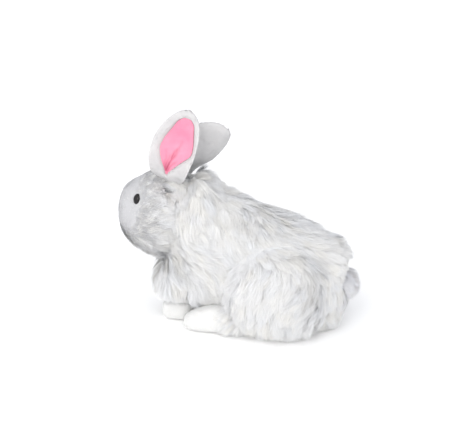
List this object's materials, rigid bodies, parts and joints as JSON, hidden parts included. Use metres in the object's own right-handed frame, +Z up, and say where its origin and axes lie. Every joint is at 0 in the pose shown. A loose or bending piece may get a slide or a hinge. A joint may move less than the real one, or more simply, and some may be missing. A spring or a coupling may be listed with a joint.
{
  "type": "stuffed bunny rabbit",
  "caption": "Crouching white plush rabbit with upright pink-lined ears, a round tail, long body fur and short pile on face, paws and feet.",
  "frame": {"origin": "on the surface the rabbit rests on, under the middle of its outline", "axes": "+X towards the rabbit's left side, +Y towards its tail (it faces -Y), +Z up"},
  "size_m": [0.174, 0.304, 0.2909],
  "materials": {
    "long_pile": "matte",
    "short_pile": "matte",
    "ear_lining": "matte",
    "stiffener": "matte",
    "stuffing": "matte",
    "eye_plastic": "gloss",
    "washer_plastic": "satin",
    "nose_thread": "satin"
  },
  "bodies": {
    "torso": {"body_side_left": "long_pile", "body_side_right": "long_pile", "belly_panel": "long_pile", "chest_panel": "long_pile", "chin_panel": "long_pile", "head_gusset": "long_pile", "head_side_left": "long_pile", "head_side_right": "long_pile", "haunch_cover_left": "long_pile", "haunch_cover_right": "long_pile", "hind_foot_cover_left": "short_pile", "hind_foot_cover_right": "short_pile", "body_stuffing": "stuffing", "head_stuffing": "stuffing", "haunch_stuffing_left": "stuffing", "haunch_stuffing_right": "stuffing", "hind_foot_stuffing_left": "stuffing", "hind_foot_stuffing_right": "stuffing", "eye_left": "eye_plastic", "eye_right": "eye_plastic", "eye_washer_left": "washer_plastic", "eye_washer_right": "washer_plastic", "nose_stitching": "nose_thread"},
    "ear_left": {"ear_back_left": "short_pile", "ear_lining_left": "ear_lining", "ear_stiffener_left": "stiffener"},
    "ear_right": {"ear_back_right": "short_pile", "ear_lining_right": "ear_lining", "ear_stiffener_right": "stiffener"},
    "tail": {"tail_cover": "long_pile", "tail_stuffing": "stuffing"},
    "front_paw_left": {"front_paw_cover_left": "short_pile", "front_paw_stuffing_left": "stuffing"},
    "front_paw_right": {"front_paw_cover_right": "short_pile", "front_paw_stuffing_right": "stuffing"}
  },
  "joints": [
    {"name": "ear_left_lean", "type": "hinge", "parent": "torso", "child": "ear_left", "pos_m": [0.024, -0.084, 0.193], "axis": [-0.9853, 0.1054, 0.1345], "range_deg": [-30, 36], "stiffness_Nm_per_rad": 0.2},
    {"name": "ear_right_lean", "type": "hinge", "parent": "torso", "child": "ear_right", "pos_m": [-0.024, -0.084, 0.193], "axis": [-0.8936, -0.131, 0.4294], "range_deg": [-54, 10], "stiffness_Nm_per_rad": 0.2},
    {"name": "tail_tilt", "type": "hinge", "parent": "torso", "child": "tail", "pos_m": [0, 0.13, 0.058], "axis": [1, 0, 0], "range_deg": [-18, 18], "stiffness_Nm_per_rad": 0.15},
    {"name": "front_paw_left_swing", "type": "hinge", "parent": "torso", "child": "front_paw_left", "pos_m": [0.022, -0.066, 0.014], "axis": [0, 0, 1], "range_deg": [-6, 14], "stiffness_Nm_per_rad": 0.1},
    {"name": "front_paw_right_swing", "type": "hinge", "parent": "torso", "child": "front_paw_right", "pos_m": [-0.022, -0.066, 0.014], "axis": [0, 0, -1], "range_deg": [-6, 14], "stiffness_Nm_per_rad": 0.1}
  ]
}
